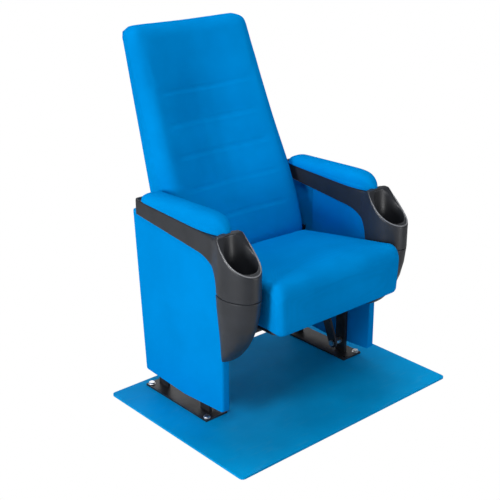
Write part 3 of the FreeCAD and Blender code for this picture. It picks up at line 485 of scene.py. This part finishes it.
def back_cover(cloth):
    """The back's cloth, swelled between its sewn cross seams."""
    piece = shaped_block("back_upholstery", cuts=30, place=back_form)

    def held(at):
        x, forward, up = stand_up(at)
        near = np.min([np.abs(up - seam) for seam in SEAM_HEIGHTS], axis=0) < SEAM_HELD
        return (forward < BACK_REAR + REAR_HELD) | (near & (np.abs(x) < SEAM_HELD_HALF))

    plump(piece, cap_mm=2, held=held, pressure=3.0)
    refine(piece)
    x, forward, up = stand_up(points_of(piece))
    half = np.interp(up, BACK_ROWS[:, 0], BACK_ROWS[:, 1])
    facing = normals_of(piece)[:, 1] < -0.5
    fade = np.clip((half - SEAM_STOP - np.abs(x)) / SEAM_FADE, 0, 1) * facing
    for number, seam in enumerate(SEAM_HEIGHTS):
        line = seam + SEAM_WANDER * np.sin(x / WANDER_LENGTH + number)
        pucker = 0.8 + 0.2 * np.sin(x / PUCKER_LENGTH + 2 * number)
        forward = forward - fade * SEAM_DEPTH * pucker * np.exp(-((up - line) / SEAM_WIDTH) ** 2)
        forward = forward + fade * ROLL_HEIGHT * np.exp(-((up - line + ROLL_BELOW) / ROLL_WIDTH) ** 2)
    set_points(piece, lean_back(x, forward, up))
    smooth_shading(piece)
    finish_piece(piece, cloth, "back", "blue_fabric", "back_cushion")


SEAT_HALF, SEAT_FRONT, SEAT_FLOOR = (236, -359, 318)
SEAT_TOP_FRONT, SEAT_TOP_REAR = (473, 418)
SEAT_REAR_TOP_Y, SEAT_REAR_FOOT_Y = (21, -24)
SEAT_LENGTH = SEAT_REAR_TOP_Y - SEAT_FRONT
# Radii of the front corners, of the nose, of the top's sides and rear, and of the floor's sides and front
SEAT_CORNER_ROUND, SEAT_NOSE_ROUND, SEAT_SIDE_ROUND, SEAT_REAR_ROUND = (18, 40, 24, 10)
FLOOR_SIDE_ROUND, FLOOR_FRONT_ROUND = (10, 12)
# How far the sides draw in below, and the front, the rear and the top swell in their middles
SEAT_DRAW_IN, SEAT_FRONT_SWELL, SEAT_REAR_SWELL, SEAT_CROWN = (6, 4, 14, 10)
# How much wider the seat gets towards its nose, from where, and over what length
SEAT_FLARE, SEAT_FLARE_Y, SEAT_FLARE_LENGTH = (6, -296, 40)
# Height at the floor and depth at the sides that the cloth step holds
SEAT_HELD = 10


def seat_form(a, b, c):
    """Upholstered seat: crowned top falling to the rear, deep front with a rolled nose and corners."""
    side = crowd(a, power=1.5)
    share = (1 + c) / 2
    half = SEAT_HALF - SEAT_DRAW_IN * (1 - share)
    edge = half * (1 - np.abs(side))
    swell = SEAT_FRONT_SWELL * np.sin(np.pi * share) * (1 - side ** 2)
    front = SEAT_FRONT + fall(edge, SEAT_CORNER_ROUND) - swell
    rear_lean = SEAT_REAR_TOP_Y - SEAT_REAR_FOOT_Y + SEAT_REAR_SWELL * (1 - side ** 2)
    rear = SEAT_REAR_FOOT_Y + rear_lean * share
    along = (1 + crowd(b, power=1.35)) / 2
    y = front + (rear - front) * along
    x = side * (half + SEAT_FLARE * np.clip((SEAT_FLARE_Y - y) / SEAT_FLARE_LENGTH, 0, 1))
    top = SEAT_TOP_FRONT + (SEAT_TOP_REAR - SEAT_TOP_FRONT) * (y - SEAT_FRONT) / SEAT_LENGTH
    top = top + SEAT_CROWN * (1 - side ** 2) * np.sin(np.pi * np.clip(along, 0, 1))
    top = top - fall(y - front, SEAT_NOSE_ROUND) - fall(edge, SEAT_SIDE_ROUND)
    top = top - fall(rear - y, SEAT_REAR_ROUND)
    floor = SEAT_FLOOR + fall(edge, FLOOR_SIDE_ROUND) + fall(y - front, FLOOR_FRONT_ROUND)
    return np.stack([x, y, floor + (top - floor) * share], axis=1) * MM


def seat_cover(cloth):
    """The seat's cloth over its foam."""
    piece = shaped_block("seat_upholstery", cuts=28, place=seat_form)

    def held(at):
        low = at[:, 2] < (SEAT_FLOOR + SEAT_HELD) * MM
        return low | (np.abs(at[:, 0]) > (SEAT_HALF - SEAT_HELD) * MM)

    plump(piece, cap_mm=4, held=held, pressure=3.0)
    refine(piece)
    smooth_shading(piece)
    finish_piece(piece, cloth, "seat", "blue_fabric", "seat_cushion")


ARM_X = 290
PAD_FRONT_Y, PAD_REAR_Y, PAD_HALF = (-208, 145.6, 41)
PAD_LAND_FRONT, PAD_LAND_REAR = (581.4, 600.4)
PAD_FRONT_HEIGHT, PAD_REAR_HEIGHT = (54, 21)
# How far the pads sit towards the seat from the armrests' middles
PAD_INWARD = 3
# Lengths over which the nose narrows, sinks and rounds off, and the rear rounds off
NOSE_NARROWS, NOSE_SINKS, NOSE_ROUNDS, REAR_ROUNDS = (105, 90, 48, 20)
# Height above the armrest that the cloth step holds
PAD_HELD = 5
# Gathers round the nose: depth, how many in a full turn, length, height and the turn's distance behind it
GATHER_DEPTH, GATHERS, GATHER_LENGTH, GATHER_HEIGHT, GATHER_MIDDLE = (0.7, 16, 34, 22, 40)


def pad_land_at(y):
    """Height of the armrest's top under the pad."""
    share = (y - PAD_FRONT_Y) / (PAD_REAR_Y - PAD_FRONT_Y)
    return PAD_LAND_FRONT + (PAD_LAND_REAR - PAD_LAND_FRONT) * share


def pad_form(a, b, c):
    """Arm pad about its own middle: deep round nose, thin rear, domed across, drawn in below."""
    along = (1 + crowd(b, power=1.7)) / 2
    y = PAD_FRONT_Y + (PAD_REAR_Y - PAD_FRONT_Y) * along
    ahead = nearness(y - PAD_FRONT_Y, NOSE_NARROWS)
    behind = nearness(PAD_REAR_Y - y, REAR_ROUNDS)
    half = PAD_HALF * np.sqrt(1 - 0.97 * ahead ** 2) * np.sqrt(1 - 0.93 * behind ** 2)
    share = (1 + c) / 2
    side = crowd(a, power=1.3)
    deep = PAD_FRONT_HEIGHT + (PAD_REAR_HEIGHT - PAD_FRONT_HEIGHT) * along
    nose = nearness(y - PAD_FRONT_Y, NOSE_SINKS)
    tip = nearness(y - PAD_FRONT_Y, NOSE_ROUNDS)
    deep = deep * (1 - 0.22 * nose ** 2) * np.sqrt(1 - 0.92 * tip ** 2.2) * (1 - 0.5 * behind ** 2)
    dome = 0.40 + 0.60 * np.sqrt(1 - np.abs(side) ** 2.6)
    x = side * half * (0.95 + 0.05 * np.sin(np.pi * np.clip(1.25 * share, 0, 1)))
    return np.stack([x, y, pad_land_at(y) + share * deep * dome], axis=1) * MM


def pad_foot(at):
    """Points of a pad that lie on the armrest or just above it."""
    return at[:, 2] < (pad_land_at(at[:, 1] / MM) + PAD_HELD) * MM


def arm_pads(cloth):
    """Cloth pads on the armrests, with the small gathers that show round their noses."""
    for name, way in BOTH_SIDES:
        piece = shaped_block(name + "_arm_pad_cover", cuts=18, place=pad_form)
        plump(piece, cap_mm=3, held=pad_foot, pressure=4.0)
        refine(piece)
        at = points_of(piece)
        behind_nose = at[:, 1] / MM - PAD_FRONT_Y
        ahead = nearness(behind_nose, GATHER_LENGTH)
        low = nearness(at[:, 2] / MM - pad_land_at(at[:, 1] / MM), GATHER_HEIGHT)
        turn = np.arctan2(at[:, 0] / MM, behind_nose - GATHER_MIDDLE)
        gather = GATHER_DEPTH * MM * ahead * low * (0.5 + 0.5 * np.sin(GATHERS * turn))
        at -= normals_of(piece) * gather[:, None]
        at[:, 0] += way * (ARM_X - PAD_INWARD) * MM
        set_points(piece, at)
        smooth_shading(piece)
        finish_piece(piece, cloth, "root", "blue_fabric", name + "_arm_pad")


CUP_Y, CUP_HALF_WIDTH, CUP_HALF_LENGTH = (-248, 52, 74)
# Rear, middle and front of the rim's scoop, seen from the side
RIM_POINTS = ((-216, 588), (-260, 536), (-323, 500))
# Radius of the tube of the ring that the bead is made from; the ring's own radius is 1
RING_RADIUS = 0.2
# The bead's distance in from the cup's wall, where it ends at the rear, and the length of its run-out
BEAD_INSET, BEAD_REAR_Y, BEAD_RUN_OUT = (2.4, -217, 26)
# The bead's radius and height over the rim: at its ends, and what is added further on
BEAD_END_RADIUS, BEAD_RADIUS_GAIN, BEAD_END_RISE, BEAD_RISE_GAIN = (0.3, 1.7, -1.2, 1.8)


def rim_height(y):
    """Height of the cup's scooped rim: an arc, seen from the side, through its rear, middle and front."""
    (y1, z1), (y2, z2), (y3, z3) = RIM_POINTS
    left = np.array([[y2 - y1, z2 - z1], [y3 - y1, z3 - z1]])
    right = np.array([y2 ** 2 - y1 ** 2 + z2 ** 2 - z1 ** 2, y3 ** 2 - y1 ** 2 + z3 ** 2 - z1 ** 2]) / 2
    middle_y, middle_z = np.linalg.solve(left, right)
    radius = math.hypot(y1 - middle_y, z1 - middle_z)
    return middle_z - np.sqrt(np.maximum(radius ** 2 - (y - middle_y) ** 2, 0))


def rim_bead(way):
    """Thin rounded bead along the cup's rim; its ends run out into the saddle."""
    deselect()
    bpy.ops.mesh.primitive_torus_add(major_segments=180, minor_segments=10,
                                     major_radius=1, minor_radius=RING_RADIUS)
    piece = bpy.context.object
    x, y, z = points_of(piece).T
    turn = np.arctan2(y, x)
    out, lift = ((np.hypot(x, y) - 1) / RING_RADIUS, z / RING_RADIUS)
    path_y = np.minimum(CUP_Y + (CUP_HALF_LENGTH - BEAD_INSET) * np.sin(turn), BEAD_REAR_Y)
    run_out = np.clip((BEAD_REAR_Y - path_y) / BEAD_RUN_OUT, 0, 1)
    thick = BEAD_END_RADIUS + BEAD_RADIUS_GAIN * run_out
    path_x = (CUP_HALF_WIDTH - BEAD_INSET) * np.cos(turn)
    path_z = rim_height(path_y) + BEAD_END_RISE + BEAD_RISE_GAIN * run_out
    across = np.stack([np.cos(turn) * out, np.sin(turn) * out, lift], axis=1) * thick[:, None]
    path = np.stack([way * ARM_X + path_x, path_y, path_z], axis=1)
    set_points(piece, (path + across) * MM)
    smooth_shading(piece)
    return piece


# The soft flare between the armrest's sides and its cup: middle, reach along, inner start and blend across
FLARE_Y, FLARE_REACH, FLARE_START, FLARE_BLEND = (-196, 26, 22, 8)
FLARE_STEPS = 10


def armrests(plastic, highlight_rim_plastic):
    """Moulded armrests with their cup holders: every edge rounded, the sides flared softly into the cup."""
    for name, way in BOTH_SIDES:
        piece = copy_of(name + "_armrest", name + "_arm_moulding")
        apply_modifier(piece, "REMESH", mode="VOXEL", voxel_size=2.0 * MM)
        at = points_of(piece) / MM
        from_middle = np.abs(at[:, 0] - way * ARM_X)
        flare = np.exp(-((at[:, 1] - FLARE_Y) / FLARE_REACH) ** 2)
        flare = flare * np.clip((from_middle - FLARE_START) / FLARE_BLEND, 0, 1)
        group = piece.vertex_groups.new(name="flare")
        for level in range(1, FLARE_STEPS + 1):
            chosen = np.nonzero(np.round(flare * FLARE_STEPS) == level)[0]
            group.add([int(index) for index in chosen], level / FLARE_STEPS, "REPLACE")
        apply_modifier(piece, "SMOOTH", factor=0.5, iterations=60, vertex_group="flare")
        apply_modifier(piece, "SMOOTH", factor=0.5, iterations=6)
        piece.vertex_groups.clear()
        smooth_shading(piece)
        finish_piece(piece, plastic, "root", "grey_plastic", name + "_armrest")
        # The bead takes the light grey of the painted rim highlight
        bead = rim_bead(way)
        bead.name = name + "_cup_rim_bead"
        finish_piece(bead, highlight_rim_plastic, "root", "grey_plastic")


# Height, middle, half width and half length of the tail's oval below the cup
TAIL_ROWS = np.array([(222, -208, 24, 11), (232, -214, 28, 20), (246, -221, 32, 28), (274, -232, 37, 41),
                      (305, -240, 42, 51), (335, -245, 46, 59), (380, -248, 50, 68), (426.4, -248, 52, 74)])
TAIL_LEVELS = 32
PANEL_FRONT_Y = -205.4


def cup_tails(plastic):
    """Tapering covers below the cups: an oval that shrinks and draws back to the panel's edge."""
    for name, way in BOTH_SIDES:
        deselect()
        bpy.ops.mesh.primitive_cylinder_add(vertices=96, radius=1, depth=2, location=(0, 0, 0))
        piece = bpy.context.object
        piece.name = name + "_tail_moulding"
        for level in np.linspace(-1, 1, TAIL_LEVELS)[1:-1]:
            in_edit(piece, bpy.ops.mesh.bisect, plane_co=(0, 0, level), plane_no=(0, 0, 1))
        x, y, z = points_of(piece).T
        height = TAIL_ROWS[0, 0] + (TAIL_ROWS[-1, 0] - TAIL_ROWS[0, 0]) * (1 + z) / 2
        middle, wide, long = (np.interp(height, TAIL_ROWS[:, 0], TAIL_ROWS[:, column])
                              for column in (1, 2, 3))
        set_points(piece, np.stack([way * ARM_X + x * wide, middle + y * long, height], axis=1) * MM)
        in_edit(piece, bpy.ops.mesh.bisect, plane_co=(0, PANEL_FRONT_Y * MM, 0), plane_no=(0, 1, 0),
                use_fill=True, clear_outer=True)
        round_edges(piece, width_mm=1.2, segments=2, angle=50)
        smooth_shading(piece, angle=40)
        finish_piece(piece, plastic, "root", "grey_plastic", name + "_cup_tail")


def panel_cover(node, name, cloth, width_mm):
    """A copy of a panel with its sharp edges rounded, as cloth rounds them."""
    piece = copy_of(node, name)
    in_edit(piece, bpy.ops.mesh.dissolve_limited, angle_limit=math.radians(2))
    round_edges(piece, width_mm, segments=3, angle=40)
    smooth_shading(piece, angle=40)
    finish_piece(piece, cloth, "root", "blue_panel", node)
    return piece


# Lower corners of the outer panels, as y and z, the reach of their rounding, and how much tighter it gets
PANEL_CORNERS = ((-205, 57), (155, 55))
PANEL_CORNER_REACH, PANEL_TIGHTER = (21, 0.5)


def panel_covers(cloth):
    """Cloth on the side and inner panels; the outer panels' lower corners are taken in tighter."""
    for name, _ in BOTH_SIDES:
        panel_cover(name + "_inner_panel", name + "_inner_panel_cover", cloth, width_mm=3)
        piece = panel_cover(name + "_side_panel", name + "_panel_cover", cloth, width_mm=2)
        at = points_of(piece) / MM
        for corner in PANEL_CORNERS:
            offset = at[:, 1:] - corner
            near = np.all(np.abs(offset) < PANEL_CORNER_REACH, axis=1)
            at[near, 1:] = corner + offset[near] * PANEL_TIGHTER
        set_points(piece, at * MM)


BOLT_X, BOLT_Y = (310, 132)
WASHER_RADIUS, WASHER_THICK, WASHER_Z = (10.5, 1.6, 12.9)


def washers(zinc):
    """Round washers under the heads of the floor bolts."""
    pieces = []
    for x in (-BOLT_X, BOLT_X):
        for y in (-BOLT_Y, BOLT_Y):
            deselect()
            bpy.ops.mesh.primitive_cylinder_add(vertices=48, radius=WASHER_RADIUS * MM,
                                                depth=WASHER_THICK * MM,
                                                location=(x * MM, y * MM, WASHER_Z * MM))
            bpy.ops.object.transform_apply(location=True, rotation=True, scale=True)
            pieces.append(bpy.context.object)
    take(pieces[0])
    for piece in pieces:
        piece.select_set(True)
    bpy.ops.object.join()
    joined = bpy.context.object
    joined.name = "floor_bolt_washers"
    round_edges(joined, width_mm=0.4, segments=2, angle=50)
    smooth_shading(joined, angle=40)
    finish_piece(joined, zinc, "root", "zinc_steel")


def dress_frame(materials):
    """Finishes of the CAD nodes that stay as they are."""
    slots = {entry["node"]: entry["material_slot"] for entry in frame["record"]["subparts"]}
    for name, node in frame["nodes"].items():
        node.data.materials.clear()
        node.data.materials.append(materials[slots[name]])
        smooth_shading(node, angle=30)


# Studio

FLOOR_SIZE, FLOOR_Z = (60, -0.5 * MM)
WORLD_STRENGTH = 0.21
# Name, place, aim, size in metres and watts
LAMPS = (
    ("key_lamp", (-3.5, -0.4, 1.15), (0, 0, 0.5), 1.0, 85),
    ("top_lamp", (0.25, 0.15, 3.2), (0, 0, 0.5), 1.2, 34),
    ("rear_lamp", (1.6, 2.6, 2.2), (0, 0, 0.6), 2.0, 25),
    ("front_lamp", (0.42, -1.6, 0.4), (0, -0.3, 0.4), 0.5, 4.4),
    ("spark_lamp", (-1.7, -1.2, 2.8), (0, 0, 0.5), 0.5, 13),
)


def pale_floor():
    """Floor that takes the light as pale grey and shows as white to the camera."""
    deselect()
    bpy.ops.mesh.primitive_plane_add(size=FLOOR_SIZE, location=(0, 0, FLOOR_Z))
    floor = bpy.context.object
    floor.name = "studio_floor"
    material, tree = start_material("pale_floor")[:2]
    path = add_node(tree, "ShaderNodeLightPath")
    matt = add_node(tree, "ShaderNodeBsdfDiffuse", {"Color": hex_colour("C4C4C4")})
    glow = add_node(tree, "ShaderNodeEmission", {"Color": hex_colour("FFFFFF"), "Strength": 1.0})
    shown = add_node(tree, "ShaderNodeMixShader",
                     {0: (path, "Is Camera Ray"), 1: (matt, "BSDF"), 2: (glow, "Emission")})
    add_node(tree, "ShaderNodeOutputMaterial", {"Surface": (shown, "Shader")})
    floor.data.materials.append(material)


def pale_world():
    """Even soft light from all round, which shows as white to the camera."""
    world = bpy.data.worlds.new("studio_world")
    scene.world = world
    world.use_nodes = True
    tree = world.node_tree
    tree.nodes.clear()
    sky = add_node(tree, "ShaderNodeBackground", {"Color": (1, 1, 1, 1), "Strength": WORLD_STRENGTH})
    white = add_node(tree, "ShaderNodeBackground", {"Color": (1, 1, 1, 1), "Strength": 1.0})
    path = add_node(tree, "ShaderNodeLightPath")
    shown = add_node(tree, "ShaderNodeMixShader",
                     {0: (path, "Is Camera Ray"), 1: (sky, "Background"), 2: (white, "Background")})
    add_node(tree, "ShaderNodeOutputWorld", {"Surface": (shown, "Shader")})


def studio_lamps():
    """Soft white lamps."""
    for name, place, aim, size, watts in LAMPS:
        data = bpy.data.lights.new(name, "AREA")
        data.size = size
        data.energy = watts
        lamp = bpy.data.objects.new(name, data)
        lamp.location = place
        lamp.rotation_euler = (Vector(aim) - Vector(place)).to_track_quat("-Z", "Y").to_euler()
        scene.collection.objects.link(lamp)


set_camera()
pale_floor()
pale_world()
studio_lamps()
scene.view_settings.view_transform = "Standard"

blue_cloth = woven_cloth("blue_woven_polyester", "0087D4", "008EDD", relief=0.35)
panel_cloth = woven_cloth("blue_panel_cloth", "0087D4", "008CDB", relief=0.25)
grey_plastic = moulded_plastic("grey_polypropylene", "26292E", "2C2F35", roughness=0.38)
# The rim bead's light grey is a painted highlight along the cup rims, lighter than the armrests' own
# plastic
highlight_rim_plastic = moulded_plastic("painted_highlight_rim", "74767B", "85878C", roughness=0.2)
finishes = {
    "blue_fabric": blue_cloth,
    "blue_panel": panel_cloth,
    "blue_laminate": scuffed_laminate("blue_board_laminate"),
    "grey_plastic": grey_plastic,
    "core_board": raw_board("raw_particle_board"),
    "black_steel": coated_steel("black_powder_coat", "121214", "2A2B2E"),
    "zinc_steel": zinc_plate("bright_zinc"),
    "black_rubber": bare_rubber("black_rubber"),
}
dress_frame(finishes)
back_cover(blue_cloth)
seat_cover(blue_cloth)
arm_pads(blue_cloth)
armrests(grey_plastic, highlight_rim_plastic)
cup_tails(grey_plastic)
panel_covers(panel_cloth)
washers(finishes["zinc_steel"])
back_panel(panel_cloth)

deselect()
